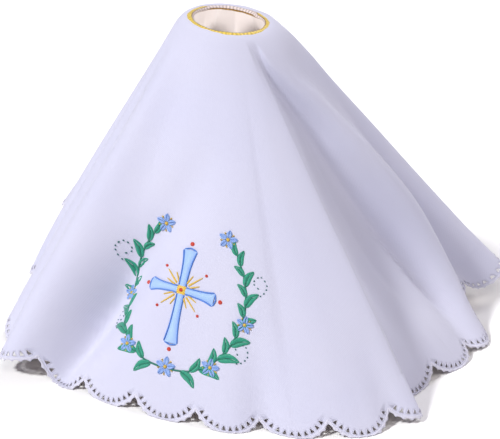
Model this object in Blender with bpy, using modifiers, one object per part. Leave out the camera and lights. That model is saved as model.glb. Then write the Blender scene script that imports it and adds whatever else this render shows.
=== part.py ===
# Chalice veil: a round white cloth with a neck hole and a scalloped hem, draped as a standing
# hollow cone of soft folds, and the gold satin band around its neck hole.
# Metres, +Z up. The hem stands on z = 0 and the origin is at the centre of the box's underside.
# Azimuths are degrees, 0 at the front (-Y) and 90 at the right (+X).

from math import atan, cos, pi, radians, sin

import bmesh
import bpy
import numpy as np
from mathutils import Matrix

MM = 0.001

# Cut sizes of the flat cloth
FLAT_RADIUS = 265 * MM          # from the cloth's centre to the tip of a scallop
HOLE_RADIUS = 24.4 * MM         # the cloth's own edge at the neck
CLOTH_THICKNESS = 1.2 * MM
SCALLOPS = 40
SCALLOP_DEPTH = 11.5 * MM
SCALLOP_CHORD = 0.955           # share of the pitch that a scallop's arc spans
FIRST_NOTCH = 0.2               # flat angle of the notch that starts the first scallop

# The drape
TOP_HEIGHT = 203.2 * MM         # the neck's rim above the table
TOP_TILT = 0.09                 # the flat top falls this much for each unit to the right
TOP_LEAN = 0.05                 # and rises this much for each unit to the back
NECK_SHIFT = 1.4 * MM           # the neck sits this far to the right of the hem's centre
SHOULDER_SHIFT = 2.8 * MM       # and the shoulder this far
SHOULDER_RADIUS = 33.5 * MM     # where the flat top turns down into the cone
SHOULDER_DROP = 4.3 * MM
SHOULDER_LEAN = 0.06            # the shoulder rises by this much more to the back
SHOULDER_ROUND = 9 * MM         # length of cloth that the turn takes on the cone's side
NECK_ROLL = 2.2 * MM            # how strongly the cloth swells up beside the band
SLACK_BOW = 0.24                # how far slack cloth bellies out, for the root of its slack
BOW_RISE = 0.5                  # a belly also rises by this share of its depth
TROUGH_FALL = 0.6               # a trough also sinks by this share of its inward push
HEM_PRESS = 1.0 * MM            # the hem's tips are pressed flat on the table by this much
CURVE_EASE = 0.7                # below 1, long gaps between folds curve more than short ones

# The gold band at the neck
BAND_RADIUS = 22.2 * MM         # the band's centre line
BAND_WIDTH = 2.4 * MM
BAND_THICKNESS = 1.8 * MM

# How finely the cloth is divided
STEPS_PER_SCALLOP = 6
RING_RADII = (24.4, 28.5, 33.5, 39, 50, 75, 110, 148, 182, 210, 236, 265)   # mm, flat
CURVE_SAMPLES = 7200

# One row for each fold, around the hem from the left side by the front to the back:
# name, azimuth at the shoulder, azimuth at the hem, radius at the hem in mm, lift off the table
# in mm, and width of the fold's rounded end in mm
FOLDS = (
    ("left side", -88.0, -82.0, 146, 2, 0),
    ("left hump", -76.0, -72.0, 142, 3, 0),
    ("hump crest", -66.0, -63.0, 157, 11, 0),
    ("hump side", -57.0, -56.5, 160, 16, 0),
    ("left valley", -49.0, -48.8, 149, 6, 0),
    ("panel B", -39.0, -41.0, 135, 0, 0),
    ("panel C", -27.0, -29.0, 134, 0, 0),
    ("panel D", -10.0, -12.0, 139, 0, 0),
    ("panel E", 1.0, 3.0, 150, 0, 0),
    ("panel F", 10.0, 16.0, 161, 0, 0),
    ("panel G", 18.0, 28.5, 173, 0, 0),
    ("front crest", 24.0, 41.2, 175, 4, 0),
    ("tuck", 28.0, 40.6, 165, 0, 0),
    ("flank", 33.0, 52.6, 153, 0, 0),
    ("first valley", 39.0, 66.0, 161, 1, 0),
    ("second ridge", 54.0, 80.0, 168, 3, 0),
    ("second valley", 77.0, 94.8, 156, 8, 0),
    ("right ridge", 99.0, 101.0, 186, 20, 14),
    ("back valley 1", 118.0, 119.0, 108, 0, 10),
    ("back ridge 1", 133.0, 134.0, 184, 19, 15),
    ("back valley 2", 146.0, 148.0, 105, 0, 10),
    ("back ridge 2", 162.0, 163.0, 190, 24, 17),
    ("back valley 3", 176.0, 177.0, 106, 0, 10),
    ("back ridge 3", 192.0, 192.0, 186, 21, 15),
    ("back valley 4", 206.0, 206.0, 103, 0, 10),
    ("back ridge 4", 219.0, 219.0, 183, 18, 16),
    ("back valley 5", 232.0, 232.0, 101, 0, 10),
    ("back ridge 5", 247.0, 247.0, 142, 7, 16),
    ("back valley 6", 262.0, 262.0, 116, 0, 8),
)

# Soft troughs pressed into the cloth: name, flat radius in mm, scallop number of the deepest place
# there, its depth in mm, and half width in mm to its left and to its right. A trough runs through
# all of its rows; a negative depth is a swelling.
TROUGHS = (
    ("left trough", 90, 4.7, 0, 12, 12),
    ("left trough", 140, 4.0, 6, 15, 15),
    ("left trough", 185, 3.15, 14, 18, 17),
    ("left trough", 225, 2.6, 19, 19, 19),
    ("left trough", 268, 2.2, 15, 20, 20),
    ("panel dip", 190, 5.95, 0, 10, 10),
    ("panel dip", 240, 6.05, 3.5, 12, 12),
    ("panel dip", 268, 6.05, 5, 13, 13),
    ("crest dip", 200, 7.95, 0, 10, 10),
    ("crest dip", 240, 8.0, 2, 10, 10),
    ("crest dip", 268, 8.05, 3, 10, 10),
    ("flank", 30, 8.6, 0, 3, 3),
    ("flank", 38, 8.9, 2.2, 4, 3.5),
    ("flank", 50, 9.7, 4.4, 9, 4),
    ("flank", 78, 10.9, 8, 20, 5),
    ("flank", 115, 11.25, 12, 32, 7),
    ("flank", 150, 11.5, 15, 42, 9),
    ("flank", 190, 11.7, 16, 44, 11),
    ("flank", 215, 11.6, 14, 34, 14),
    ("flank", 240, 11.3, 8, 20, 15),
    ("flank", 268, 11.0, 0, 10, 14),
    ("flank hollow", 80, 9.6, 0, 8, 10),
    ("flank hollow", 120, 9.8, 3, 14, 16),
    ("flank hollow", 160, 9.9, 6, 18, 22),
    ("flank hollow", 190, 9.9, 9, 18, 24),
    ("flank hollow", 210, 9.9, 8, 20, 24),
    ("flank hollow", 232, 9.9, 3, 20, 24),
    ("flank hollow", 255, 10.0, 0, 20, 24),
    ("first crease", 60, 10.3, 0, 4, 2),
    ("first crease", 85, 11.05, 2, 6, 2.5),
    ("first crease", 115, 11.3, 3, 8, 3.5),
    ("first crease", 150, 11.55, 4, 10, 4.5),
    ("first crease", 190, 11.75, 4, 10, 5.5),
    ("first crease", 220, 11.6, 3, 10, 6),
    ("first crease", 245, 11.3, 1.5, 8, 6),
    ("first crease", 268, 11.0, 0, 8, 6),
    ("second ridge", 60, 11.7, 0, 9, 12),
    ("second ridge", 90, 12.0, -4, 11, 14),
    ("second ridge", 125, 12.25, -8, 14, 17),
    ("second ridge", 175, 12.45, -10, 18, 18),
    ("second ridge", 225, 12.35, -6, 20, 18),
    ("second ridge", 268, 12.2, 0, 20, 20),
    ("second valley", 60, 13.1, 0, 10, 8),
    ("second valley", 110, 13.3, 6, 15, 8),
    ("second valley", 170, 13.4, 12, 18, 10),
    ("second valley", 230, 13.4, 17, 18, 11),
    ("second valley", 268, 13.4, 9, 18, 11),
)


def clear_scene():
    for item in list(bpy.data.objects):
        bpy.data.objects.remove(item, do_unlink=True)


def make_collection(name):
    group = bpy.data.collections.new(name)
    bpy.context.scene.collection.children.link(group)
    return group


def make_material(name, colour, roughness, metallic):
    material = bpy.data.materials.new(name)
    material.use_nodes = True
    shader = material.node_tree.nodes["Principled BSDF"]
    shader.inputs["Base Color"].default_value = (*colour, 1.0)
    shader.inputs["Roughness"].default_value = roughness
    shader.inputs["Metallic"].default_value = metallic
    return material


def heading(azimuth):
    """Horizontal unit vector at an azimuth in degrees."""
    turn = np.radians(azimuth)
    return np.stack([np.sin(turn), -np.cos(turn)], axis=-1)


def closed_spline(knots, values, samples):
    """Smooth closed curve (periodic cubic spline) through values, read at samples."""
    count = len(values)
    spans = np.diff(knots)
    matrix = np.zeros((count, count))
    right_side = np.zeros(values.shape)
    for here in range(count):
        after = (here + 1) % count
        before_span = spans[here - 1]
        after_span = spans[here]
        matrix[here, here - 1] += before_span
        matrix[here, here] += 2 * (before_span + after_span)
        matrix[here, after] += after_span
        rise_after = (values[after] - values[here]) / after_span
        rise_before = (values[here] - values[here - 1]) / before_span
        right_side[here] = 6 * (rise_after - rise_before)
    bends = np.linalg.solve(matrix, right_side)
    left = np.clip(np.searchsorted(knots, samples, side="right") - 1, 0, count - 1)
    right = (left + 1) % count
    span = spans[left][:, None]
    to_right = (knots[left + 1] - samples)[:, None]
    to_left = (samples - knots[left])[:, None]
    cubic = (bends[left] * to_right ** 3 + bends[right] * to_left ** 3) / (6 * span)
    from_left = (values[left] / span - bends[left] * span / 6) * to_right
    from_right = (values[right] / span - bends[right] * span / 6) * to_left
    return cubic + from_left + from_right


def fold_points():
    """Hem points, lifts and shoulder azimuths of the fold table; a wide fold gives two points."""
    places = []
    lifts = []
    shoulders = []
    for name, shoulder, azimuth, radius, lift, width in FOLDS:
        centre = heading(azimuth) * radius * MM
        across = heading(azimuth + 90)
        sides = (-0.5, 0.5) if width else (0.0,)
        for side in sides:
            places.append(centre + across * width * MM * side)
            lifts.append(lift * MM)
            shoulders.append(shoulder + side)
    return np.array(places), np.array(lifts), np.array(shoulders)


def top_level(x, y):
    """Height of the tilted plane that the neck's rim lies in."""
    return TOP_HEIGHT - TOP_TILT * x + TOP_LEAN * y


def make_drape():
    """Running length of the hem, and for each sample its shoulder, hem and shoulder azimuth."""
    places, lifts, shoulders = fold_points()
    gaps = np.linalg.norm(np.roll(places, -1, axis=0) - places, axis=1)
    knots = np.concatenate([[0.0], np.cumsum(gaps ** CURVE_EASE)])
    samples = np.linspace(0.0, knots[-1], CURVE_SAMPLES, endpoint=False)
    lag = shoulders - 360 * knots[:-1] / knots[-1]
    curve = closed_spline(knots, np.column_stack([places, lifts, lag]), samples)
    azimuth = curve[:, 3] + 360 * samples / knots[-1]
    shoulder = heading(azimuth) * SHOULDER_RADIUS + np.array([SHOULDER_SHIFT, 0.0])
    shoulder_height = top_level(shoulder[:, 0], shoulder[:, 1]) - SHOULDER_DROP
    shoulder_height += SHOULDER_LEAN * shoulder[:, 1]
    hem = np.column_stack([curve[:, :2], np.maximum(curve[:, 2], 0.0)])
    steps = np.linalg.norm(np.roll(hem, -1, axis=0) - hem, axis=1)
    running = np.concatenate([[0.0], np.cumsum(steps)])
    closed = np.column_stack([shoulder, shoulder_height, hem, azimuth])
    last = closed[:1].copy()
    last[0, 6] += 360
    return running, np.vstack([closed, last])


def flat_edge(local_angle):
    """Flat radius of the scalloped edge at an angle (degrees) from a scallop's middle."""
    half = FLAT_RADIUS * sin(pi / SCALLOPS) * SCALLOP_CHORD
    arc = (half ** 2 + SCALLOP_DEPTH ** 2) / (2 * SCALLOP_DEPTH)
    centre = FLAT_RADIUS - arc
    aside = centre * sin(radians(local_angle))
    return centre * cos(radians(local_angle)) + (arc ** 2 - aside ** 2) ** 0.5


def smooth_rows(rows, place):
    """Values at a place of a smooth curve through a table's rows, whose first column is the place.

    The curve stays level before the first row and after the last.
    """
    knots = rows[:, 0]
    values = rows[:, 1:]
    slopes = np.gradient(values, knots, axis=0)
    place = min(max(place, knots[0]), knots[-1])
    before = min(np.searchsorted(knots, place, side="right"), len(knots) - 1) - 1
    span = knots[before + 1] - knots[before]
    share = (place - knots[before]) / span
    start = values[before] * (1 + 2 * share) + slopes[before] * span * share
    stop = values[before + 1] * (3 - 2 * share) - slopes[before + 1] * span * (1 - share)
    return start * (1 - share) ** 2 + stop * share ** 2


def trough_depth(flat_angle, flat_radius):
    """How far the soft troughs press the cloth in at a place of the flat cloth."""
    number = (flat_angle - FIRST_NOTCH) * SCALLOPS / 360
    total = 0.0
    for name in dict.fromkeys(row[0] for row in TROUGHS):
        rows = np.array([row[1:] for row in TROUGHS if row[0] == name], dtype=float)
        if flat_radius / MM <= rows[0, 0]:
            continue
        middle, depth, left_width, right_width = smooth_rows(rows, flat_radius / MM)
        away = (number - middle + SCALLOPS / 2) % SCALLOPS - SCALLOPS / 2
        half_width = left_width if away < 0 else right_width
        distance = away * 2 * pi / SCALLOPS * flat_radius / (half_width * MM)
        total += depth * MM * np.exp(-distance * distance)
    return total


def draped(drape, flat_angle, flat_radius):
    """Place in space of a point of the flat cloth, given by its polar coordinates.

    The cloth turns down at the shoulder. A straight line runs from there to the hem, slack cloth
    bellies out of it, and the troughs are pressed in.
    """
    running, curve = drape
    at = (flat_angle % 360) / 360 * running[-1]
    row = np.array([np.interp(at, running, curve[:, column]) for column in range(7)])
    shoulder = row[:3]
    hem = row[3:6]
    rim_flat = heading(row[6]) * HOLE_RADIUS + np.array([NECK_SHIFT, 0.0])
    rim = np.array([*rim_flat, top_level(*rim_flat)])
    straight = hem - shoulder
    length = FLAT_RADIUS - SHOULDER_RADIUS
    turn_end = SHOULDER_RADIUS + SHOULDER_ROUND
    if flat_radius < turn_end:
        share = (flat_radius - HOLE_RADIUS) / (turn_end - HOLE_RADIUS)
        below = shoulder + straight * SHOULDER_ROUND / length
        place = rim * (1 - share) ** 2 + shoulder * 2 * share * (1 - share) + below * share ** 2
        place[2] += NECK_ROLL * 4 * share * (1 - share) ** 3
        bow = 0.0
        press = 0.0
    else:
        share = (flat_radius - SHOULDER_RADIUS) / length
        place = shoulder + straight * share
        slack = max(length - np.linalg.norm(straight), 0.0)
        bow = SLACK_BOW * slack ** 0.5 * share ** 2 * max(1 - share, 0.0)
        press = HEM_PRESS * share
    outward = np.array([place[0], place[1], 0.0]) / np.hypot(place[0], place[1])
    pressed = trough_depth(flat_angle, flat_radius)
    place = place + outward * (bow - pressed)
    place[2] += BOW_RISE * bow - TROUGH_FALL * pressed - press
    return place


def link_object(name, mesh, group, material):
    item = bpy.data.objects.new(name, mesh)
    group.objects.link(item)
    mesh.materials.append(material)
    return item


def make_sheet(drape):
    """One radius of the flat cloth, spun to a ring and laid into its folds, without thickness."""
    shape = bmesh.new()
    radii = [shape.verts.new((radius * MM, 0.0, 0.0)) for radius in RING_RADII]
    line = [shape.edges.new(pair) for pair in zip(radii, radii[1:])]
    bmesh.ops.spin(
        shape, geom=radii + line, cent=(0, 0, 0), axis=(0, 0, 1),
        angle=2 * pi, steps=SCALLOPS * STEPS_PER_SCALLOP, use_merge=True,
    )
    bmesh.ops.remove_doubles(shape, verts=shape.verts[:], dist=0.01 * MM)
    pitch = 360 / SCALLOPS
    edge_from = (RING_RADII[-2] + RING_RADII[-1]) / 2 * MM
    for vert in shape.verts:
        spun = np.degrees(np.arctan2(vert.co.y, vert.co.x)) % 360
        flat_angle = FIRST_NOTCH + spun
        flat_radius = vert.co.xy.length
        if flat_radius > edge_from:
            flat_radius = flat_edge(spun % pitch - pitch / 2)
        vert.co = draped(drape, flat_angle, flat_radius)
    bmesh.ops.recalc_face_normals(shape, faces=shape.faces[:])
    if sum(face.normal.z for face in shape.faces) < 0:
        bmesh.ops.reverse_faces(shape, faces=shape.faces[:])
    sheet = bpy.data.meshes.new("veil_sheet")
    shape.to_mesh(sheet)
    shape.free()
    return sheet


def make_cloth(group, drape, material):
    """The sheet with its thickness on the inner side; what reaches under the table lies on it."""
    sheet = link_object("veil_sheet", make_sheet(drape), group, material)
    wall = sheet.modifiers.new("wall", "SOLIDIFY")
    wall.thickness = CLOTH_THICKNESS
    wall.offset = -1.0
    evaluated = sheet.evaluated_get(bpy.context.evaluated_depsgraph_get())
    mesh = bpy.data.meshes.new_from_object(evaluated)
    bpy.data.objects.remove(sheet, do_unlink=True)
    mesh.name = "veil_cloth"
    mesh.materials.clear()
    for vert in mesh.vertices:
        vert.co.z = max(vert.co.z, 0.0)
    mesh.shade_smooth()
    return link_object("veil_cloth", mesh, group, material)


def make_band(group, material):
    """The gold band: a rounded section spun around the neck, tilted with the flat top."""
    shape = bmesh.new()
    bmesh.ops.create_circle(shape, segments=10, radius=0.5)
    bmesh.ops.scale(shape, vec=(BAND_WIDTH, BAND_THICKNESS, 1.0), verts=shape.verts[:])
    bmesh.ops.rotate(shape, matrix=Matrix.Rotation(pi / 2, 3, "X"), verts=shape.verts[:])
    bmesh.ops.translate(shape, vec=(BAND_RADIUS, 0, 0), verts=shape.verts[:])
    bmesh.ops.spin(
        shape, geom=shape.verts[:] + shape.edges[:], cent=(0, 0, 0), axis=(0, 0, 1),
        angle=2 * pi, steps=64, use_merge=True,
    )
    bmesh.ops.remove_doubles(shape, verts=shape.verts[:], dist=0.01 * MM)
    bmesh.ops.recalc_face_normals(shape, faces=shape.faces[:])
    bmesh.ops.rotate(shape, matrix=Matrix.Rotation(atan(TOP_LEAN), 3, "X"), verts=shape.verts[:])
    bmesh.ops.rotate(shape, matrix=Matrix.Rotation(atan(TOP_TILT), 3, "Y"), verts=shape.verts[:])
    level = top_level(NECK_SHIFT, 0.0) - CLOTH_THICKNESS / 2
    bmesh.ops.translate(shape, vec=(NECK_SHIFT, 0, level), verts=shape.verts[:])
    mesh = bpy.data.meshes.new("neck_ring")
    shape.to_mesh(mesh)
    shape.free()
    mesh.shade_smooth()
    return link_object("neck_ring", mesh, group, material)


def centre_on_origin(items):
    """Moves the meshes so that the centre of the box's underside is the origin."""
    corners = np.array([vert.co for item in items for vert in item.data.vertices])
    low = corners.min(axis=0)
    high = corners.max(axis=0)
    shift = Matrix.Translation((-(low[0] + high[0]) / 2, -(low[1] + high[1]) / 2, -low[2]))
    for item in items:
        item.data.transform(shift)


clear_scene()
veil = make_collection("chalice_veil")
white_cotton = make_material("white_cotton", (0.80, 0.80, 0.88), 0.75, 0.0)
gold_thread = make_material("gold_thread", (0.72, 0.52, 0.12), 0.40, 0.0)
cloth = make_cloth(veil, make_drape(), white_cotton)
band = make_band(veil, gold_thread)
centre_on_origin([cloth, band])
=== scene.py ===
from math import cos, pi, radians, sin

import bmesh
import bpy
import numpy as np
from mathutils import Matrix, Vector


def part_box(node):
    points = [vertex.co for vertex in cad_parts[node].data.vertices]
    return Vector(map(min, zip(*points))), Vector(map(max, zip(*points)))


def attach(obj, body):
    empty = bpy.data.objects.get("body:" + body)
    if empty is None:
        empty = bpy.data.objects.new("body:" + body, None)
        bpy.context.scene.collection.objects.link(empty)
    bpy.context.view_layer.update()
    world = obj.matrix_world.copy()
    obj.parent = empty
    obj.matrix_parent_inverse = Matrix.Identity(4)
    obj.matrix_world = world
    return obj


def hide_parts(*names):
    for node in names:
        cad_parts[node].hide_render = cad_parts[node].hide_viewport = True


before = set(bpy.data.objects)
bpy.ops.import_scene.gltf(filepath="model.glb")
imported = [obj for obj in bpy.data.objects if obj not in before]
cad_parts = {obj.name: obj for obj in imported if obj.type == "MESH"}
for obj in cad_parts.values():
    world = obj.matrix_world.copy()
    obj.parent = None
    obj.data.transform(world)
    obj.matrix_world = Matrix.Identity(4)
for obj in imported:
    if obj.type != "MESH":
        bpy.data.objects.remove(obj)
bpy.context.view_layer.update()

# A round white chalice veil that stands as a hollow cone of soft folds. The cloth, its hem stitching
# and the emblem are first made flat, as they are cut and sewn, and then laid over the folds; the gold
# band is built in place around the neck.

mm = 0.001
neckLow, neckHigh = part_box("neck_ring")
neckCentre = (neckLow + neckHigh) / 2

# The cut of the flat cloth
cut = {
    "radius": 265 * mm,         # centre to the tip of a scallop
    "holeRadius": 24.4 * mm,    # the drape's neck edge
    "thickness": 0.5 * mm,
    "scallops": 40,
    "scallopDepth": 11.5 * mm,
    "scallopChord": 0.955,
    "firstNotch": 0.2,          # degrees
    "holesPerScallop": 10,
}

# How it hangs
drape = {
    "topHeight": 203.2 * mm,
    "topTilt": 0.09,            # down to the right
    "topLean": 0.05,            # up to the back
    "neckShift": 1.4 * mm,
    "shoulderShift": 2.8 * mm,
    "shoulderRadius": 33.5 * mm,
    "shoulderDrop": 4.3 * mm,
    "shoulderLean": 0.06,       # the shoulder rises this much more to the back
    "shoulderRound": 9 * mm,
    "neckRoll": 2.2 * mm,       # how far the cloth swells up beside the neck band
    "slackBow": 0.24,
    "bowRise": 0.5,
    "troughFall": 0.6,
    "hemPress": 1.0 * mm,
    "curveEase": 0.7,
    "floorGap": 0.9 * mm,       # the stitched edge is about this thick below the cloth's face
    "samples": 7200,
}

# One row for each fold: name, azimuth at the shoulder, azimuth at the hem, radius at the hem,
# lift off the table and width of a rounded fold, in mm
folds = (
    ("left side", -88.0, -82.0, 146, 2, 0),
    ("left hump", -76.0, -72.0, 142, 3, 0),
    ("hump crest", -66.0, -63.0, 157, 11, 0),
    ("hump side", -57.0, -56.5, 160, 16, 0),
    ("left valley", -49.0, -48.8, 149, 6, 0),
    ("panel B", -39.0, -41.0, 135, 0, 0),
    ("panel C", -27.0, -29.0, 134, 0, 0),
    ("panel D", -10.0, -12.0, 139, 0, 0),
    ("panel E", 1.0, 3.0, 150, 0, 0),
    ("panel F", 10.0, 16.0, 161, 0, 0),
    ("panel G", 18.0, 28.5, 173, 0, 0),
    ("front crest", 24.0, 41.2, 175, 4, 0),
    ("tuck", 28.0, 40.6, 165, 0, 0),
    ("flank", 33.0, 52.6, 153, 0, 0),
    ("first valley", 39.0, 66.0, 161, 1, 0),
    ("second ridge", 54.0, 80.0, 168, 3, 0),
    ("second valley", 77.0, 94.8, 156, 8, 0),
    ("right ridge", 99.0, 101.0, 186, 20, 14),
    ("back valley 1", 118.0, 119.0, 108, 0, 10),
    ("back ridge 1", 133.0, 134.0, 184, 19, 15),
    ("back valley 2", 146.0, 148.0, 105, 0, 10),
    ("back ridge 2", 162.0, 163.0, 190, 24, 17),
    ("back valley 3", 176.0, 177.0, 106, 0, 10),
    ("back ridge 3", 192.0, 192.0, 186, 21, 15),
    ("back valley 4", 206.0, 206.0, 103, 0, 10),
    ("back ridge 4", 219.0, 219.0, 183, 18, 16),
    ("back valley 5", 232.0, 232.0, 101, 0, 10),
    ("back ridge 5", 247.0, 247.0, 142, 7, 16),
    ("back valley 6", 262.0, 262.0, 116, 0, 8),
)

# Soft troughs across the folds: name, flat radius in mm, scallop number of the deepest place
# there, depth and half width to its left and right in mm; a negative depth is a swelling
troughs = (
    ("left trough", 90, 4.7, 0, 12, 12),
    ("left trough", 140, 4.0, 6, 15, 15),
    ("left trough", 185, 3.15, 14, 18, 17),
    ("left trough", 225, 2.6, 19, 19, 19),
    ("left trough", 268, 2.2, 15, 20, 20),
    ("panel dip", 190, 5.95, 0, 10, 10),
    ("panel dip", 240, 6.05, 3.5, 12, 12),
    ("panel dip", 268, 6.05, 5, 13, 13),
    ("crest dip", 200, 7.95, 0, 10, 10),
    ("crest dip", 240, 8.0, 2, 10, 10),
    ("crest dip", 268, 8.05, 3, 10, 10),
    ("flank", 30, 8.6, 0, 3, 3),
    ("flank", 38, 8.9, 2.2, 4, 3.5),
    ("flank", 50, 9.7, 4.4, 9, 4),
    ("flank", 78, 10.9, 8, 20, 5),
    ("flank", 115, 11.25, 12, 32, 7),
    ("flank", 150, 11.5, 15, 42, 9),
    ("flank", 190, 11.7, 16, 44, 11),
    ("flank", 215, 11.6, 14, 34, 14),
    ("flank", 240, 11.3, 8, 20, 15),
    ("flank", 268, 11.0, 0, 10, 14),
    ("flank hollow", 80, 9.6, 0, 8, 10),
    ("flank hollow", 120, 9.8, 3, 14, 16),
    ("flank hollow", 160, 9.9, 6, 18, 22),
    ("flank hollow", 190, 9.9, 9, 18, 24),
    ("flank hollow", 210, 9.9, 8, 20, 24),
    ("flank hollow", 232, 9.9, 3, 20, 24),
    ("flank hollow", 255, 10.0, 0, 20, 24),
    ("first crease", 60, 10.3, 0, 4, 2),
    ("first crease", 85, 11.05, 2, 6, 2.5),
    ("first crease", 115, 11.3, 3, 8, 3.5),
    ("first crease", 150, 11.55, 4, 10, 4.5),
    ("first crease", 190, 11.75, 4, 10, 5.5),
    ("first crease", 220, 11.6, 3, 10, 6),
    ("first crease", 245, 11.3, 1.5, 8, 6),
    ("first crease", 268, 11.0, 0, 8, 6),
    ("second ridge", 60, 11.7, 0, 9, 12),
    ("second ridge", 90, 12.0, -4, 11, 14),
    ("second ridge", 125, 12.25, -8, 14, 17),
    ("second ridge", 175, 12.45, -10, 18, 18),
    ("second ridge", 225, 12.35, -6, 20, 18),
    ("second ridge", 268, 12.2, 0, 20, 20),
    ("second valley", 60, 13.1, 0, 10, 8),
    ("second valley", 110, 13.3, 6, 15, 8),
    ("second valley", 170, 13.4, 12, 18, 10),
    ("second valley", 230, 13.4, 17, 18, 11),
    ("second valley", 268, 13.4, 9, 18, 11),
)


def heading(azimuth):
    turn = np.radians(azimuth)
    return np.stack([np.sin(turn), -np.cos(turn)], axis=-1)


def topLevel(x, y):
    return drape["topHeight"] - drape["topTilt"] * x + drape["topLean"] * y


def smoothStep(share):
    share = np.clip(share, 0.0, 1.0)
    return share * share * (3 - 2 * share)


def closedSpline(knots, values, samples):
    # smooth closed curve (periodic cubic spline) through values, read at samples
    count = len(values)
    spans = np.diff(knots)
    matrix = np.zeros((count, count))
    rightSide = np.zeros(values.shape)
    for here in range(count):
        after = (here + 1) % count
        matrix[here, here - 1] += spans[here - 1]
        matrix[here, here] += 2 * (spans[here - 1] + spans[here])
        matrix[here, after] += spans[here]
        riseAfter = (values[after] - values[here]) / spans[here]
        riseBefore = (values[here] - values[here - 1]) / spans[here - 1]
        rightSide[here] = 6 * (riseAfter - riseBefore)
    bends = np.linalg.solve(matrix, rightSide)
    left = np.clip(np.searchsorted(knots, samples, side="right") - 1, 0, count - 1)
    right = (left + 1) % count
    span = spans[left][:, None]
    toRight = (knots[left + 1] - samples)[:, None]
    toLeft = (samples - knots[left])[:, None]
    cubic = (bends[left] * toRight ** 3 + bends[right] * toLeft ** 3) / (6 * span)
    fromLeft = (values[left] / span - bends[left] * span / 6) * toRight
    fromRight = (values[right] / span - bends[right] * span / 6) * toLeft
    return cubic + fromLeft + fromRight


def makeHemCurve():
    places, lifts, shoulders = [], [], []
    for name, shoulder, azimuth, radius, lift, width in folds:
        centre = heading(azimuth) * radius * mm
        across = heading(azimuth + 90)
        for side in (-0.5, 0.5) if width else (0.0,):
            places.append(centre + across * width * mm * side)
            lifts.append(lift * mm)
            shoulders.append(shoulder + side)
    places = np.array(places)
    lifts = np.array(lifts)
    shoulders = np.array(shoulders)
    gaps = np.linalg.norm(np.roll(places, -1, axis=0) - places, axis=1)
    knots = np.concatenate([[0.0], np.cumsum(gaps ** drape["curveEase"])])
    samples = np.linspace(0.0, knots[-1], drape["samples"], endpoint=False)
    lag = shoulders - 360 * knots[:-1] / knots[-1]
    curve = closedSpline(knots, np.column_stack([places, lifts, lag]), samples)
    azimuth = curve[:, 3] + 360 * samples / knots[-1]
    shoulder = heading(azimuth) * drape["shoulderRadius"]
    shoulder[:, 0] += drape["shoulderShift"]
    height = topLevel(shoulder[:, 0], shoulder[:, 1]) - drape["shoulderDrop"]
    height += drape["shoulderLean"] * shoulder[:, 1]
    hem = np.column_stack([curve[:, :2], np.maximum(curve[:, 2], 0.0)])
    steps = np.linalg.norm(np.roll(hem, -1, axis=0) - hem, axis=1)
    running = np.concatenate([[0.0], np.cumsum(steps)])
    closed = np.column_stack([shoulder, height, hem, azimuth])
    last = closed[:1].copy()
    last[0, 6] += 360
    return running, np.vstack([closed, last])


hemRun, hemCurve = makeHemCurve()
print("drape: hem", round(hemRun[-1], 3), "m around")

# The neck's edge is a little uneven: azimuth, further out and higher, in mm
neckRows = (
    (0, 0.2, -0.2),
    (45, 0.5, -0.3),
    (90, 0.2, -0.2),
    (135, -0.6, -0.9),
    (180, 0.0, -0.9),
    (215, 0.4, -0.7),
    (270, 0.3, -0.6),
    (315, -0.8, -0.4),
)


def neckWobble(azimuth):
    # how far the neck's edge goes out and up at an azimuth, in metres
    rows = np.array(neckRows, dtype=float)
    knots = np.append(rows[:, 0], 360.0)
    return closedSpline(knots, rows[:, 1:] * mm, np.asarray(azimuth) % 360)


def smoothRows(rows, at):
    # smooth curve through the rows of a table, whose first column is the place; level beyond it
    knots, values = rows[:, 0], rows[:, 1:]
    slopes = np.gradient(values, knots, axis=0)
    at = np.clip(at, knots[0], knots[-1])
    k = np.clip(np.searchsorted(knots, at, side="right") - 1, 0, len(knots) - 2)
    span = (knots[k + 1] - knots[k])[:, None]
    t = ((at - knots[k]) / (knots[k + 1] - knots[k]))[:, None]
    start = values[k] * (1 + 2 * t) + slopes[k] * span * t
    stop = values[k + 1] * (3 - 2 * t) - slopes[k + 1] * span * (1 - t)
    return start * (1 - t) ** 2 + stop * t * t


def troughDepth(angle, radius):
    number = (angle - cut["firstNotch"]) * cut["scallops"] / 360
    half = cut["scallops"] / 2
    depth = np.zeros(len(angle))
    for name in dict.fromkeys(row[0] for row in troughs):
        rows = np.array([row[1:] for row in troughs if row[0] == name], dtype=float)
        shape = smoothRows(rows, radius / mm)
        away = (number - shape[:, 0] + half) % cut["scallops"] - half
        width = np.where(away < 0, shape[:, 2], shape[:, 3]) * mm
        distance = away * 2 * pi / cut["scallops"] * radius / width
        begun = radius / mm > rows[0, 0]
        depth += shape[:, 1] * mm * begun * np.exp(-distance * distance)
    return depth


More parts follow.
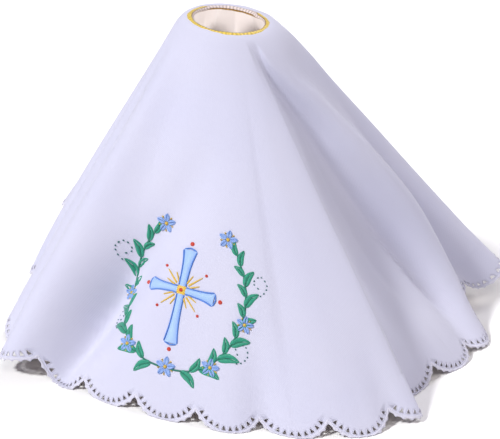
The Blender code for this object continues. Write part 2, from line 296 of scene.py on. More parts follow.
def drapeAt(angle, radius):
    # place in space of points of the flat cloth, given by their polar coordinates
    at = (angle % 360) / 360 * hemRun[-1]
    row = np.stack([np.interp(at, hemRun, hemCurve[:, k]) for k in range(7)], axis=1)
    shoulder, hem = row[:, :3], row[:, 3:6]
    wobble = neckWobble(row[:, 6])
    out = heading(row[:, 6])
    rim = out * (cut["holeRadius"] + wobble[:, :1])
    rim[:, 0] += drape["neckShift"]
    rim = np.column_stack([rim, topLevel(rim[:, 0], rim[:, 1]) + wobble[:, 1]])
    straight = hem - shoulder
    length = cut["radius"] - drape["shoulderRadius"]
    turnEnd = drape["shoulderRadius"] + drape["shoulderRound"]
    share = ((radius - cut["holeRadius"]) / (turnEnd - cut["holeRadius"]))[:, None]
    below = shoulder + straight * drape["shoulderRound"] / length
    top = rim * (1 - share) ** 2 + shoulder * 2 * share * (1 - share) + below * share ** 2
    top[:, 2] += drape["neckRoll"] * (4 * share * (1 - share) ** 3)[:, 0]
    share = (radius - drape["shoulderRadius"]) / length
    side = shoulder + straight * share[:, None]
    place = np.where((radius < turnEnd)[:, None], top, side)
    outward = place[:, :2] / np.linalg.norm(place[:, :2], axis=1)[:, None]
    slack = np.maximum(length - np.linalg.norm(straight, axis=1), 0.0)
    bow = drape["slackBow"] * slack ** 0.5 * share ** 2 * np.maximum(1 - share, 0.0)
    bow = np.where(radius < turnEnd, 0.0, bow)
    pressed = troughDepth(angle, radius)
    press = drape["hemPress"] * np.maximum(share, 0.0)
    place[:, :2] += outward * (bow - pressed)[:, None]
    place[:, 2] += drape["bowRise"] * bow - drape["troughFall"] * pressed - press
    place += np.array([neckCentre.x - drape["neckShift"], neckCentre.y, 0.0])
    place[:, 2] = np.maximum(place[:, 2], drape["floorGap"])
    return place


def layOverFolds(shape):
    # takes a flat bmesh to the draped cloth; its z is the height above the cloth's face
    flat = np.array([vert.co for vert in shape.verts])
    radius = np.hypot(flat[:, 0], flat[:, 1])
    angle = np.degrees(np.arctan2(flat[:, 1], flat[:, 0]))
    stepAngle, stepRadius = 0.12, 0.4 * mm
    along = drapeAt(angle + stepAngle, radius) - drapeAt(angle - stepAngle, radius)
    down = drapeAt(angle, radius + stepRadius) - drapeAt(angle, radius - stepRadius)
    normal = np.cross(down, along)
    normal /= np.maximum(np.linalg.norm(normal, axis=1), 1e-12)[:, None]
    place = drapeAt(angle, radius) + normal * flat[:, 2:3]
    for vert, co in zip(shape.verts, place):
        vert.co = co


def linear(hexColour):
    # an sRGB hex colour as linear red, green, blue and alpha
    parts = [int(hexColour[k:k + 2], 16) / 255 for k in (1, 3, 5)]
    return (*[c / 12.92 if c < 0.04045 else ((c + 0.055) / 1.055) ** 2.4 for c in parts], 1.0)


def addNode(tree, kind, settings=(), inputs=(), links=()):
    # adds a node; settings are its own options, inputs its numbers, links (input, node, output)
    node = tree.nodes.new(kind)
    for name, value in dict(settings).items():
        setattr(node, name, value)
    for name, value in dict(inputs).items():
        node.inputs[name].default_value = value
    for name, other, output in links:
        tree.links.new(other.outputs[output], node.inputs[name])
    return node


def newMaterial(name, numbers):
    material = bpy.data.materials.new(name)
    material.use_nodes = True
    shader = material.node_tree.nodes["Principled BSDF"]
    for socket, value in numbers.items():
        shader.inputs[socket].default_value = value
    return material, material.node_tree, shader


def mixColours(tree, shader, pattern, low, high):
    # the base colour goes from low to high with the pattern's strength
    mix = addNode(tree, "ShaderNodeMix", {"data_type": "RGBA"}, (), [("Factor", pattern, "Fac")])
    first, second = [socket for socket in mix.inputs if socket.type == "RGBA"]
    first.default_value = linear(low)
    second.default_value = linear(high)
    result = [socket for socket in mix.outputs if socket.type == "RGBA"][0]
    tree.links.new(result, shader.inputs["Base Color"])


wavesPerUnit = 0.31416      # scale of a wave texture that gives one band in each unit
stitchUnit = 100            # mm of stitching in one unit of a stitched piece's UV
satinGap = 0.45             # mm from thread to thread in satin stitch

clothLook = {
    "face": "#CCCCDC",
    "faceTint": "#C5C6DC",      # faint clouds in the white
    # the inner side is a lighter, warmer copy of the cloth: painted glow standing in for light shining
    # through the thin cloth
    "insideGlow": "#F2ECEA",
    "insideGlowTint": "#E8DDD9",
    "threadGap": 0.9,           # mm; the real threads are 0.35 mm apart, too fine to show
    "roughness": 0.78,
    "sheen": 0.25,
}


def wovenCotton(name, face, tint):
    # plain-woven cotton and polyester: matt white with a soft sheen and a fine even weave
    material, tree, shader = newMaterial(name, {
        "Roughness": clothLook["roughness"],
        "Sheen Weight": clothLook["sheen"],
        "Sheen Roughness": 0.4,
        "Specular IOR Level": 0.3,
    })
    where = addNode(tree, "ShaderNodeUVMap", {"uv_map": "flatCloth"})
    waveScale = wavesPerUnit * 2 * cut["radius"] / mm / clothLook["threadGap"]
    warp, weft = [
        addNode(tree, "ShaderNodeTexWave", {"bands_direction": way},
                {"Scale": waveScale, "Distortion": 0.6, "Detail": 1.0, "Detail Scale": 2.0},
                [("Vector", where, "UV")])
        for way in "XY"
    ]
    weave = addNode(tree, "ShaderNodeMath", {"operation": "MULTIPLY"}, (),
                    [(0, warp, "Fac"), (1, weft, "Fac")])
    slub = addNode(tree, "ShaderNodeTexNoise", (), {"Scale": 160.0, "Detail": 3.0},
                   [("Vector", where, "UV")])
    height = addNode(tree, "ShaderNodeMath", {"operation": "MULTIPLY_ADD"}, {1: 0.6},
                     [(0, slub, "Fac"), (2, weave, "Value")])
    bump = addNode(tree, "ShaderNodeBump", (), {"Strength": 0.22, "Distance": 0.00025},
                   [("Height", height, "Value")])
    cloud = addNode(tree, "ShaderNodeTexNoise", (), {"Scale": 9.0, "Detail": 2.0},
                    [("Vector", where, "UV")])
    mixColours(tree, shader, cloud, face, tint)
    tree.links.new(bump.outputs["Normal"], shader.inputs["Normal"])
    return material


def satinThread(name, light, grooveShade):
    # shiny rayon embroidery thread laid side by side: a soft gloss and fine ridges across a stitch;
    # the colour goes from painted shade in the grooves to the thread's own colour on each crown
    material, tree, shader = newMaterial(name, {
        "Roughness": 0.42,
        "Sheen Weight": 0.2,
        "Specular IOR Level": 0.5,
    })
    where = addNode(tree, "ShaderNodeUVMap", {"uv_map": "stitch"})
    ridges = addNode(tree, "ShaderNodeTexWave", {"bands_direction": "X"},
                     {"Scale": wavesPerUnit * stitchUnit / satinGap, "Distortion": 1.2, "Detail": 1.0},
                     [("Vector", where, "UV")])
    bump = addNode(tree, "ShaderNodeBump", (), {"Strength": 0.5, "Distance": 0.00015},
                   [("Height", ridges, "Fac")])
    # painted shade: each ridge darkens into its groove
    mixColours(tree, shader, ridges, grooveShade, light)
    tree.links.new(bump.outputs["Normal"], shader.inputs["Normal"])
    return material


def finishPiece(name, shape, materials):
    mesh = bpy.data.meshes.new(name)
    shape.to_mesh(mesh)
    shape.free()
    for material in materials:
        mesh.materials.append(material)
    mesh.shade_smooth()
    piece = bpy.data.objects.new(name, mesh)
    bpy.context.scene.collection.objects.link(piece)
    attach(piece, "root")
    return piece


# The hem of the flat cloth
hem = {
    "ringRadius": 238 * mm,     # inside this the cloth is plain
    "rows": (0, 0.9, 1.8, 2.4, 3.5, 4.9, 6.1, 7.8),     # mm in from the edge
    "blends": (0.25, 0.5, 0.75, 1.0),                   # from there to the plain ring
    "holeTurn": 12.0,           # degrees from hole to hole around the scallop's own centre
    "columns": (-6.0, -3.7, 0.0, 3.7),                  # degrees within a hole's share
    "holeHalf": {3: 3.4, 4: 2.4, 5: 0.8},                # degrees, a triangle pointing inwards
}
pitch = 360 / cut["scallops"]
halfChord = cut["radius"] * sin(pi / cut["scallops"]) * cut["scallopChord"]
arcRadius = (halfChord ** 2 + cut["scallopDepth"] ** 2) / (2 * cut["scallopDepth"])
arcCentre = cut["radius"] - arcRadius
arcTurn = np.degrees(np.arcsin(halfChord / arcRadius))
notchRadius = arcCentre + arcRadius * cos(radians(arcTurn))


def scallopPlace(turn, inward):
    # flat place on one scallop: degrees around its own centre, and metres in from its edge
    reach = arcRadius - inward
    bent = Vector((arcCentre + reach * cos(radians(turn)), reach * sin(radians(turn)), 0.0))
    side = 1 if turn > 0 else -1
    line = radians(pitch / 2) * side
    notch = Vector((cos(line), sin(line), 0.0)) * (notchRadius - 1.1 * inward)
    share = float(smoothStep((abs(turn) - 57.0) / (arcTurn - 57.0)))
    return bent.lerp(notch, share)


def roundTheHem(shape, verts):
    # repeats one scallop's pattern all round the hem
    turned = Matrix.Rotation(radians(cut["firstNotch"] + pitch / 2), 3, "Z")
    bmesh.ops.rotate(shape, cent=(0, 0, 0), matrix=turned, verts=verts)
    edges = {edge for vert in verts for edge in vert.link_edges}
    faces = {face for vert in verts for face in vert.link_faces}
    count = cut["scallops"]
    bmesh.ops.spin(
        shape, geom=verts + list(edges) + list(faces), cent=(0, 0, 0), axis=(0, 0, 1),
        angle=2 * pi * (count - 1) / count, steps=count - 1, use_duplicate=True,
    )


def makeCloth():
    shape = bmesh.new()
    inner = [23.4, 24.2, 25.2, 26.5, 28, 30, 32, 34.5, 37.5, 41, 45, 50, 56, 62]
    radii = inner + [68 + 8.5 * k for k in range(20)]
    radii.append(hem["ringRadius"] / mm)
    turned = Matrix.Rotation(radians(cut["firstNotch"]), 3, "Z")
    line = [shape.verts.new(turned @ Vector((radius * mm, 0, 0))) for radius in radii]
    edges = [shape.edges.new(pair) for pair in zip(line, line[1:])]
    bmesh.ops.spin(
        shape, geom=line + edges, cent=(0, 0, 0), axis=(0, 0, 1), angle=2 * pi,
        steps=cut["scallops"] * cut["holesPerScallop"], use_merge=True,
    )
    bmesh.ops.remove_doubles(shape, verts=shape.verts[:], dist=0.01 * mm)
    rim = [edge for edge in shape.edges if edge.is_boundary
           and edge.verts[0].co.length > hem["ringRadius"] - 1 * mm]
    bmesh.ops.subdivide_edges(shape, edges=rim, cuts=3)
    for vert in shape.verts:
        if vert.co.length > hem["ringRadius"] - 0.5 * mm:
            vert.co *= hem["ringRadius"] / vert.co.length

    # one scallop with its ten punched holes
    columns = cut["holesPerScallop"] * 4
    rows = len(hem["rows"]) + len(hem["blends"]) - 1
    made = bmesh.ops.create_grid(shape, x_segments=columns, y_segments=rows, size=0.5)["verts"]
    punched = []
    faces = {face for vert in made for face in vert.link_faces}
    for face in faces:
        centre = face.calc_center_median()
        column = int((centre.x + 0.5) * columns) % 4
        row = int((centre.y + 0.5) * rows)
        if column in (1, 2) and row in (3, 4):
            punched.append(face)
    spots = {vert: (round((vert.co.x + 0.5) * columns), round((vert.co.y + 0.5) * rows))
             for vert in made}
    for vert, (column, row) in spots.items():
        hole = min(column // 4, cut["holesPerScallop"] - 1)
        part = column - hole * 4
        offset = (hem["columns"] + (6.0,))[part]
        if part in (1, 3) and row in hem["holeHalf"]:
            offset = hem["holeHalf"][row] * (1 if part == 3 else -1)
        turn = (hole - (cut["holesPerScallop"] - 1) / 2) * hem["holeTurn"] + offset
        if column in (0, columns):
            turn = arcTurn if column else -arcTurn
        inward = hem["rows"][min(row, len(hem["rows"]) - 1)] * mm
        place = scallopPlace(turn, inward)
        if row >= len(hem["rows"]):
            swing = radians((column / columns - 0.5) * pitch)
            ring = Vector((cos(swing), sin(swing), 0.0)) * hem["ringRadius"]
            place = place.lerp(ring, hem["blends"][row - len(hem["rows"])])
        vert.co = place
    bmesh.ops.delete(shape, geom=punched, context="FACES")
    made = [vert for vert in made if vert.is_valid]
    roundTheHem(shape, made)
    bmesh.ops.remove_doubles(shape, verts=shape.verts[:], dist=0.04 * mm)
    bmesh.ops.recalc_face_normals(shape, faces=shape.faces[:])
    if sum(face.normal.z for face in shape.faces) < 0:
        bmesh.ops.reverse_faces(shape, faces=shape.faces[:])
    flatArea = sum(face.calc_area() for face in shape.faces)
    layer = shape.loops.layers.uv.new("flatCloth")
    for face in shape.faces:
        for loop in face.loops:
            co = loop.vert.co
            loop[layer].uv = (co.x / cut["radius"] / 2 + 0.5, co.y / cut["radius"] / 2 + 0.5)
    layOverFolds(shape)
    cloth = finishPiece("veil", shape, [
        wovenCotton("whiteWovenCotton", clothLook["face"], clothLook["faceTint"]),
        # the inner faces get the lighter, warmer copy: painted glow for light coming through the cloth
        wovenCotton("whiteCottonInsidePaintedGlow", clothLook["insideGlow"], clothLook["insideGlowTint"]),
    ])
    wall = cloth.modifiers.new("thickness", "SOLIDIFY")
    wall.thickness = cut["thickness"]
    wall.offset = -1.0
    wall.material_offset = 1
    return cloth, flatArea


cloth, flatArea = makeCloth()
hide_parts("veil_cloth")
print("cloth:", len(cloth.data.polygons), "faces, flat area", round(flatArea, 4))


def addGrid(shape, columns, across, place, stitch=None):
    # a grid whose point (along 0 to 1, across 0 to 1) goes to place(along, across)
    layer = shape.loops.layers.uv.get("stitch") or shape.loops.layers.uv.new("stitch")
    made = bmesh.ops.create_grid(shape, x_segments=columns, y_segments=across, size=0.5)["verts"]
    for face in {face for vert in made for face in vert.link_faces}:
        for loop in face.loops:
            along, side = loop.vert.co.x + 0.5, loop.vert.co.y + 0.5
            loop[layer].uv = stitch(along, side) if stitch else (along, side)
    for vert in made:
        vert.co = place(vert.co.x + 0.5, vert.co.y + 0.5)
    return made


hemStitch = {
    "middle": 0.7 * mm,         # in from the edge
    "halfWidth": 0.8 * mm,
    "halfHeight": 0.42 * mm,
    "picot": 1.0 * mm,          # a small point between two holes
    "holeThread": 0.24 * mm,
}


def makeHemStitching():
    shape = bmesh.new()
    holes = cut["holesPerScallop"]

    def edgePlace(along, around):
        turn = (along * 2 - 1) * arcTurn
        toPoint = abs((along * holes) % 1 - 0.5) * 2        # 1 between two holes, 0 at a hole
        out = max(cos(around * 2 * pi), 0.0)
        point = hemStitch["picot"] * max(toPoint - 0.35, 0) / 0.65 * out
        if along < 0.01 or along > 0.99:
            point = 0.0
        inward = hemStitch["middle"] - hemStitch["halfWidth"] * cos(around * 2 * pi) - point
        place = scallopPlace(turn, inward)
        place.z = hemStitch["halfHeight"] * sin(around * 2 * pi) - cut["thickness"] / 2
        return place

    made = addGrid(shape, holes * 8, 8, edgePlace, lambda s, t: (s * 0.48, t * 0.05))
    bmesh.ops.remove_doubles(shape, verts=made, dist=0.01 * mm)

    # a thread around each hole: across and along the scallop's radius, in mm
    outline = ((-1.3, 20.55), (0, 20.72), (1.3, 20.55), (0.98, 19.4), (0.5, 18.15), (0, 17.75),
               (-0.5, 18.15), (-0.98, 19.4), (-1.3, 20.55))
    last = (holes - 1) / 2 * hem["holeTurn"]

    def holePlace(along, around):
        place = along * (len(outline) - 1)
        k = round(place) % (len(outline) - 1)
        across, reach = outline[k]
        before, after = outline[k - 1 if k else -2], outline[k + 1]
        way = Vector((after[0] - before[0], after[1] - before[1])).normalized()
        swell = hemStitch["holeThread"] * cos(around * 2 * pi)
        x = across * mm + way.y * swell
        y = reach * mm - way.x * swell
        turn = radians(-last)
        return Vector((
            arcCentre + y * cos(turn) - x * sin(turn),
            y * sin(turn) + x * cos(turn),
            hemStitch["holeThread"] * sin(around * 2 * pi) + 0.05 * mm,
        ))

    ring = addGrid(shape, len(outline) - 1, 4, holePlace, lambda s, t: (s * 0.07, t * 0.01))
    bmesh.ops.remove_doubles(shape, verts=ring, dist=0.01 * mm)
    ring = [vert for vert in ring if vert.is_valid]
    edges = {edge for vert in ring for edge in vert.link_edges}
    faces = {face for vert in ring for face in vert.link_faces}
    bmesh.ops.spin(
        shape, geom=ring + list(edges) + list(faces), cent=(arcCentre, 0, 0), axis=(0, 0, 1),
        angle=radians(2 * last), steps=holes - 1, use_duplicate=True,
    )
    roundTheHem(shape, shape.verts[:])
    bmesh.ops.remove_doubles(shape, verts=shape.verts[:], dist=0.02 * mm)
    bmesh.ops.recalc_face_normals(shape, faces=shape.faces[:])
    layOverFolds(shape)
    # the second colour is painted shade in the grooves between threads
    thread = satinThread("whiteSatinThread", "#DBDAE8", "#C2C1D2")
    return finishPiece("hem_stitching", shape, [thread])


stitching = makeHemStitching()
print("hem stitching:", len(stitching.data.polygons), "faces")

# The gold band around the neck hole
band = {
    "radius": 23.1 * mm,
    "halfWidth": 2.0 * mm,
    "halfHeight": 1.3 * mm,
    "drop": 0.8 * mm,           # its middle below the neck's plane
    "round": 142,               # mm around its outer side
    "stitchGap": 2.2,           # mm; the real threads are 0.4 mm apart, too fine to show
    "lumps": ((3, 0.10, 0.4), (8, 0.07, 1.9), (19, 0.05, 3.0)),     # waves around, share, phase
    "gold": "#F6D654",
    # darker gold for painted shade on the underside, brown for painted shade at the inner edges, pale
    # for a painted highlight at the back
    "goldUndersideShade": "#B98A1C",
    "brownEdgeShade": "#7A4C12",
    "paleRearGlint": "#F3E2DC",
}


def goldSatin():
    # satin stitch in bright gold rayon; its underside is painted darker as shade, the brown lines at
    # its inner edges are painted edge shade, and the pale inner side that shows at the back is a
    # painted highlight of gold seen at a grazing angle
    material, tree, shader = newMaterial("goldSatinThread", {
        "Roughness": 0.36,
        "Sheen Weight": 0.2,
        "Specular IOR Level": 0.5,
    })
    where = addNode(tree, "ShaderNodeUVMap", {"uv_map": "stitch"})
    parts = addNode(tree, "ShaderNodeSeparateXYZ", (), (), [("Vector", where, "UV")])
    ridges = addNode(tree, "ShaderNodeTexWave", {"bands_direction": "X"},
                     {"Scale": wavesPerUnit * band["round"] / band["stitchGap"],
                      "Distortion": 5.0, "Detail": 2.0},
                     [("Vector", where, "UV")])
    bump = addNode(tree, "ShaderNodeBump", (), {"Strength": 0.6, "Distance": 0.0002},
                   [("Height", ridges, "Fac")])
    # across the band: 0 and 1 at the outer side, 0.5 at the inner side
    ring = addNode(tree, "ShaderNodeValToRGB", (), (), [("Fac", parts, "Y")])
    ramp = ring.color_ramp
    ramp.interpolation = "LINEAR"
    # colour stops across the band: painted highlight on the inner side, painted shade on the underside
    # and at the inner edges
    stops = ((0.0, "gold"), (0.29, "gold"), (0.33, "brownEdgeShade"), (0.38, "paleRearGlint"),
             (0.57, "paleRearGlint"), (0.60, "brownEdgeShade"), (0.64, "goldUndersideShade"), (1.0, "goldUndersideShade"))
    ramp.elements[0].position = stops[0][0]
    ramp.elements[0].color = linear(band[stops[0][1]])
    ramp.elements[1].position = stops[-1][0]
    ramp.elements[1].color = linear(band[stops[-1][1]])
    for position, key in stops[1:-1]:
        ramp.elements.new(position).color = linear(band[key])
    # the thread ridges darken the colour in their grooves: painted shade
    shade = addNode(tree, "ShaderNodeMix", {"data_type": "RGBA", "blend_type": "MULTIPLY"})
    shade.inputs["Factor"].default_value = 0.5
    rgba = [socket for socket in shade.inputs if socket.type == "RGBA"]
    tree.links.new(ring.outputs["Color"], rgba[0])
    tree.links.new(ridges.outputs["Color"], rgba[1])
    tree.links.new([o for o in shade.outputs if o.type == "RGBA"][0], shader.inputs["Base Color"])
    tree.links.new(bump.outputs["Normal"], shader.inputs["Normal"])
    return material


def makeBand():
    shape = bmesh.new()
    centre = np.array([neckCentre.x - drape["neckShift"], neckCentre.y, 0.0])

    def place(along, around):
        azimuth = along * 360
        out, up = neckWobble(np.array([azimuth]))[0]
        lump = 1.0
        for waves, size, phase in band["lumps"]:
            lump += size * sin(2 * pi * waves * along + phase)
        reach = band["radius"] + out + band["halfWidth"] * lump * cos(around * 2 * pi)
        flat = heading(azimuth) * reach + np.array([drape["neckShift"], 0.0])
        rise = band["halfHeight"] * lump * sin(around * 2 * pi) - band["drop"] + up
        level = topLevel(flat[0], flat[1])
        return Vector((flat[0] + centre[0], flat[1] + centre[1], level + rise))

    def stitch(along, around):
        # the colours shift across the band: at the back the pale painted highlight spreads over the
        # top, at the front the brown painted edge shade shows on top
        back = smoothStep((cos(2 * pi * (along - 0.478)) - 0.66) / 0.14)
        front = smoothStep((cos(2 * pi * along) - 0.3) / 0.4)
        return along, around + 0.13 * float(back) + 0.05 * float(front)

    made = addGrid(shape, 192, 16, place, stitch)
    bmesh.ops.remove_doubles(shape, verts=made, dist=0.01 * mm)
    bmesh.ops.recalc_face_normals(shape, faces=shape.faces[:])
    return finishPiece("gold_band", shape, [goldSatin()])


goldBand = makeBand()
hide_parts("neck_ring")
print("gold band:", len(goldBand.data.polygons), "faces")

# A plain cross in a wreath of leaf sprays and small flowers, worked in satin stitch.
# Its own flat frame is in mm: x to the right, y up towards the neck.
emblem = {
    "scallop": 4.52,            # its middle, as a scallop number
    "radius": 186,              # mm from the cloth's centre
    "tilt": -4.0,               # degrees
    "rise": 0.75,               # mm that the stitches stand up
}


def toCloth(x, y, z):
    tilt = radians(emblem["tilt"])
    right = x * cos(tilt) - y * sin(tilt)
    up = x * sin(tilt) + y * cos(tilt)
    turn = radians(cut["firstNotch"] + emblem["scallop"] * pitch)
    reach = emblem["radius"] - up
    return Vector((
        (reach * cos(turn) - right * sin(turn)) * mm,
        (reach * sin(turn) + right * cos(turn)) * mm,
        z * mm,
    ))


def smoothPath(points, count):
    # a smooth open curve through a few given points
    points = np.array(points, dtype=float)
    steps = np.linalg.norm(np.diff(points, axis=0), axis=1)
    knots = np.concatenate([[0.0], np.cumsum(steps)])
    at = np.linspace(0, knots[-1], count)
    result = []
    for value in at:
        k = min(max(np.searchsorted(knots, value, side="right") - 1, 0), len(steps) - 1)
        t = (value - knots[k]) / steps[k]
        p0 = points[max(k - 1, 0)]
        p1, p2 = points[k], points[k + 1]
        p3 = points[min(k + 2, len(points) - 1)]
        result.append(0.5 * (2 * p1 + (p2 - p0) * t + (2 * p0 - 5 * p1 + 4 * p2 - p3) * t ** 2
                             + (3 * p1 - p0 - 3 * p2 + p3) * t ** 3))
    return np.array(result)


def stitchBand(shape, points, width, rise=1.0, ends=0.0, count=None, midrib=False):
    # a satin-stitched band along a path; width is a number or a function of 0 to 1
    rough = smoothPath(points, 40)
    length = np.linalg.norm(np.diff(rough, axis=0), axis=1).sum()
    count = count or max(4, int(length / 1.4))
    path = smoothPath(points, count + 1)
    way = np.gradient(path, axis=0)
    way /= np.linalg.norm(way, axis=1)[:, None]
    across = 8 if midrib else 4

    def place(along, side):
        k = round(along * count)
        wide = width(along) if callable(width) else width
        toEnd = max(min(along, 1 - along), 0.0)
        if toEnd < ends:
            wide *= (toEnd / ends) ** 0.5
        t = side * 2 - 1
        x = path[k][0] - way[k][1] * t * wide / 2
        y = path[k][1] + way[k][0] * t * wide / 2
        dome = abs(sin(pi * t)) ** 0.6 if midrib else (1 - t * t) ** 0.5
        taper = min(1.0, wide / 0.8)
        return toCloth(x, y, -0.1 + emblem["rise"] * rise * dome * taper)

    def stitch(along, side):
        slant = 0.03 * abs(side - 0.5) * (1 if midrib else 0.2)
        return along * length / stitchUnit + slant, side

    addGrid(shape, count, across, place, stitch)


def stitchDot(shape, x, y, size, rise=1.3):
    def place(along, side):
        turn = along * 2 * pi
        reach = size / 2 * side
        dome = (1 - side * side) ** 0.5
        height = -0.1 + emblem["rise"] * rise * dome
        return toCloth(x + reach * cos(turn), y + reach * sin(turn), height)

    made = addGrid(shape, 12, 3, place, lambda s, t: (s * 0.06, t * 0.01))
    bmesh.ops.remove_doubles(shape, verts=made, dist=0.01 * mm)


def leafWidth(fullest):
    return lambda along: fullest * max(sin(pi * along ** 0.8), 0.0) ** 0.9 + 0.15


# Sprays: the stem's points for the right-hand side; the left-hand one is its mirror image
spray = {
    "stem": ((2, -47), (16, -44), (29, -33), (37, -17), (39, 2), (35, 19), (27, 33)),
    "stemWidth": 1.3,
    # leaf: place along the stem, side (1 outer, -1 inner), length, fullest width, lean in degrees
    "leaves": (
        (0.08, 1, 13, 5.6, 46), (0.13, -1, 11, 4.8, 40), (0.19, 1, 14, 6.0, 42),
        (0.26, -1, 11, 4.8, 40), (0.32, 1, 14, 6.0, 40), (0.38, -1, 10, 4.6, 38),
        (0.44, 1, 13, 5.8, 40), (0.50, -1, 10, 4.4, 36), (0.57, 1, 12, 5.4, 38),
        (0.63, -1, 9, 4.2, 36), (0.69, 1, 12, 5.2, 36), (0.75, -1, 9, 4.0, 34),
        (0.81, 1, 11, 4.8, 34), (0.87, -1, 8, 3.8, 32), (0.92, 1, 10, 4.2, 30),
        (0.99, 1, 9, 3.8, 8),
    ),
}
tendrils = (
    ((33, -28), (42, -30), (47, -24), (44, -18), (39, -21), (42, -26)),
    ((38, 10), (46, 14), (48, 21), (43, 25), (40, 20), (45, 17)),
)
flowers = ((27, -38, 12), (41, -6, 11), (20, 40, 12))
crossArms = {
    "centre": (0, 2),
    "up": 25, "down": 33, "side": 20,
    "width": 4.2, "flare": 8.5,
}


def makeEmbroidery():
    names = ("leaves", "stems", "tendrils", "petals", "cross", "outline", "gold", "dots")
    shapes = {name: bmesh.new() for name in names}

    for side in (1, -1):
        stem = [(x * side, y) for x, y in spray["stem"]]
        stitchBand(shapes["stems"], stem, spray["stemWidth"], ends=0.04)
        path = smoothPath(stem, 101)
        for at, outer, length, wide, lean in spray["leaves"]:
            k = min(int(at * 100), 99)
            root = path[k]
            way = path[k + 1] - path[k]
            way /= np.linalg.norm(way)
            turn = radians(lean) * outer * -side
            c, s = cos(turn), sin(turn)
            ahead = np.array([way[0] * c - way[1] * s, way[0] * s + way[1] * c])
            bend = np.array([-ahead[1], ahead[0]]) * outer * side * 0.12 * length
            points = [root, root + ahead * length * 0.5 + bend, root + ahead * length]
            stitchBand(shapes["leaves"], points, leafWidth(wide), 1.1, count=9, midrib=True)
            rib = points[:2] + [root + ahead * length * 0.8]
            stitchBand(shapes["stems"], rib, 0.5, 1.35, count=6)
        for curl in tendrils:
            path = smoothPath([(x * side, y) for x, y in curl], 27)
            for k in range(0, 26, 2):           # running stitch: a dash, then a gap
                stitchBand(shapes["tendrils"], [path[k], path[k + 1]], 0.9, 0.9, 0.2, 3)
        for x, y, size in flowers:
            makeFlower(shapes, x * side, y, size)
    makeFlower(shapes, 0, -46, 13)
    makeCross(shapes)
    return shapes


def makeFlower(shapes, x, y, size):
    for petal in range(5):
        turn = radians(90 + petal * 72)
        ahead = np.array([cos(turn), sin(turn)])
        points = [np.array([x, y]) + ahead * reach for reach in (0.8, size * 0.27, size * 0.5)]
        stitchBand(shapes["petals"], points, leafWidth(size * 0.3), 1.7, count=6, midrib=True)
        turn += radians(36)
        ahead = np.array([cos(turn), sin(turn)])
        points = [np.array([x, y]) + ahead * reach for reach in (0.6, size * 0.36)]
        stitchBand(shapes["gold"], points, 0.45, 1.6, count=3)
        stitchDot(shapes["gold"], *points[1], 1.1, 1.6)
    stitchDot(shapes["gold"], x, y, 2.4, 2.1)


def makeCross(shapes):
    cx, cy = crossArms["centre"]
    arms = ((0, 1, crossArms["up"]), (0, -1, crossArms["down"]),
            (1, 0, crossArms["side"]), (-1, 0, crossArms["side"]))
    wide, flare = crossArms["width"], crossArms["flare"]
    for dx, dy, reach in arms:
        points = [(cx + dx * 2, cy + dy * 2), (cx + dx * reach * 0.6, cy + dy * reach * 0.6),
                  (cx + dx * reach, cy + dy * reach)]
        stitchBand(shapes["cross"], points, lambda s: wide + (flare - wide) * s ** 3, 1.1, count=16)
        for side in (-1, 1):
            edge = []
            for s in (0.0, 0.35, 0.7, 1.0):
                half = (wide + (flare - wide) * s ** 3) / 2
                along = 2 + (reach - 2) * s
                edge.append((cx + dx * along + dy * half * side, cy + dy * along + dx * half * side))
            stitchBand(shapes["outline"], edge, 1.0, 1.2, ends=0.05)
        tip = [(cx + dx * reach + dy * flare / 2 * t, cy + dy * reach + dx * flare / 2 * t)
               for t in (-1, -0.5, 0, 0.5, 1)]
        tip = [(x + dx * (1 - abs(t)) * 1.2, y + dy * (1 - abs(t)) * 1.2)
               for (x, y), t in zip(tip, (-1, -0.5, 0, 0.5, 1))]
        stitchBand(shapes["outline"], tip, 1.1, 1.2, ends=0.08)
        stitchDot(shapes["dots"], cx + dx * (reach + 4), cy + dy * (reach + 4), 2.8)
    for dx, dy in ((1, 1), (1, -1), (-1, -1), (-1, 1)):      # gold rays between the arms
        for spread, reach in ((0.0, 15.5), (0.32, 11.5), (-0.32, 11.5)):
            c, s = cos(spread), sin(spread)
            x, y = dx * c - dy * s, dx * s + dy * c
            points = [(cx + x * 3.2, cy + y * 3.2), (cx + x * reach * 0.71, cy + y * reach * 0.71)]
            stitchBand(shapes["gold"], points, lambda t: 1.5 - t * 0.9, 1.0, ends=0.1, count=8)
        stitchDot(shapes["dots"], cx + dx * 12.6, cy + dy * 12.6, 2.0)
    stitchDot(shapes["gold"], cx, cy, 7.6, 1.5)
    stitchDot(shapes["dots"], cx, cy, 3.2, 2.4)


threads = {     # the thread's own colour on the crowns and painted shade in the grooves, for each rayon thread
    "leaves": ("leafGreenSatinThread", "#22A383", "#0F7A60"),
    "stems": ("darkGreenSatinThread", "#14806A", "#0A5A4A"),
    "tendrils": ("tealRunningThread", "#1B6E6C", "#0F4A4C"),
    "petals": ("skyBlueSatinThread", "#A9C6F2", "#5C86D2"),
    "cross": ("paleBlueSatinThread", "#B4CFF4", "#86AEE8"),
    "outline": ("blueSatinThread", "#5A8FE0", "#3A68BE"),
    "gold": ("yellowGoldSatinThread", "#EACB52", "#C79A2C"),
    "dots": ("redSatinThread", "#DC4630", "#B02C1C"),
}
for name, shape in makeEmbroidery().items():
    bmesh.ops.recalc_face_normals(shape, faces=shape.faces[:])
    if sum(face.normal.z * face.calc_area() for face in shape.faces) < 0:
        bmesh.ops.reverse_faces(shape, faces=shape.faces[:])
    layOverFolds(shape)
    finishPiece("embroidery_" + name, shape, [satinThread(*threads[name])])

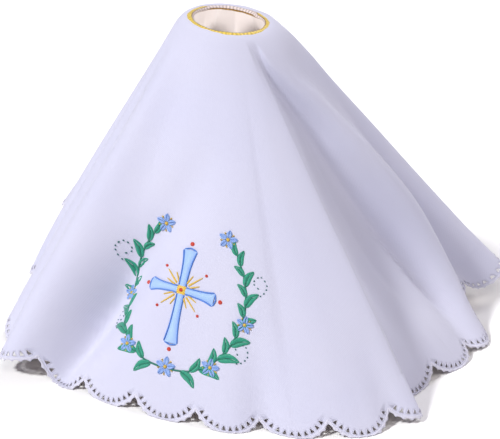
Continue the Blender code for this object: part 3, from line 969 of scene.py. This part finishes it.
# Floor, light and camera
studio = {
    "floor": "#FCFCFC",
    "air": ("#E2DCFF", 0.17),
    # name, azimuth and height in degrees, strength, softness in degrees, colour
    "suns": (
        ("key", -58, 47, 2.95, 8, "#FFFFFF"),
        ("front", 12, 55, 0.5, 20, "#FFF8EE"),
        ("right", 92, 38, 0.7, 20, "#FFF8F0"),
        ("back", 150, 42, 1.0, 20, "#FFFFFF"),
    ),
    # a small light inside the cone, below the neck, that shines up on the inner wall
    "neckLight": {"below": 75, "right": 10, "width": 100.0, "power": 0.2},
}
photoView = {
    "width": 500, "height": 439,
    "focal": 1972,              # pixels
    "elevation": 24.0,
    "distance": 1.25,
    "aim": (14.3, 0.0, 69.9),   # mm from the drape's own axis
}


def makeStudio():
    shape = bmesh.new()
    bmesh.ops.create_circle(shape, cap_ends=True, segments=96, radius=6.0)
    mesh = bpy.data.meshes.new("floor")
    shape.to_mesh(mesh)
    shape.free()
    material, tree, shader = newMaterial("paleStudioPaper", {
        "Base Color": linear(studio["floor"]), "Roughness": 0.9, "Specular IOR Level": 0.1,
    })
    mesh.materials.append(material)
    floor = bpy.data.objects.new("floor", mesh)
    bpy.context.scene.collection.objects.link(floor)
    world = bpy.data.worlds.new("studioAir")
    world.use_nodes = True
    air = world.node_tree.nodes["Background"]
    air.inputs["Color"].default_value = linear(studio["air"][0])
    air.inputs["Strength"].default_value = studio["air"][1]
    bpy.context.scene.world = world
    for name, azimuth, height, strength, softness, colour in studio["suns"]:
        sun = bpy.data.lights.new(name, "SUN")
        sun.energy = strength
        sun.angle = radians(softness)
        sun.color = linear(colour)[:3]
        way = heading(azimuth) * cos(radians(height))
        addLamp(sun, Vector((way[0], way[1], sin(radians(height)))) * 2, Vector())
    spot = bpy.data.lights.new("neckLight", "SPOT")
    spot.energy = studio["neckLight"]["power"]
    spot.spot_size = radians(studio["neckLight"]["width"])
    spot.spot_blend = 0.6
    spot.shadow_soft_size = 0.01
    place = neckCentre + Vector((studio["neckLight"]["right"], 0, -studio["neckLight"]["below"])) * mm
    addLamp(spot, place, neckCentre)


def addLamp(lamp, place, aim):
    item = bpy.data.objects.new(lamp.name, lamp)
    item.location = place
    item.rotation_euler = (aim - place).to_track_quat("-Z", "Y").to_euler()
    bpy.context.scene.collection.objects.link(item)


def makeCamera():
    lens = bpy.data.cameras.new("photoView")
    lens.sensor_width = 36.0
    lens.lens = photoView["focal"] * lens.sensor_width / photoView["width"]
    camera = bpy.data.objects.new("photoView", lens)
    rise = radians(photoView["elevation"])
    ahead = Vector((0, cos(rise), -sin(rise)))
    axis = Vector((neckCentre.x - drape["neckShift"], neckCentre.y, 0.0))
    camera.location = axis + Vector(photoView["aim"]) * mm - ahead * photoView["distance"]
    camera.rotation_euler = ahead.to_track_quat("-Z", "Y").to_euler()
    bpy.context.scene.collection.objects.link(camera)
    bpy.context.scene.camera = camera


makeStudio()
makeCamera()
bpy.context.scene.view_settings.view_transform = "Standard"
print("studio and camera ready")
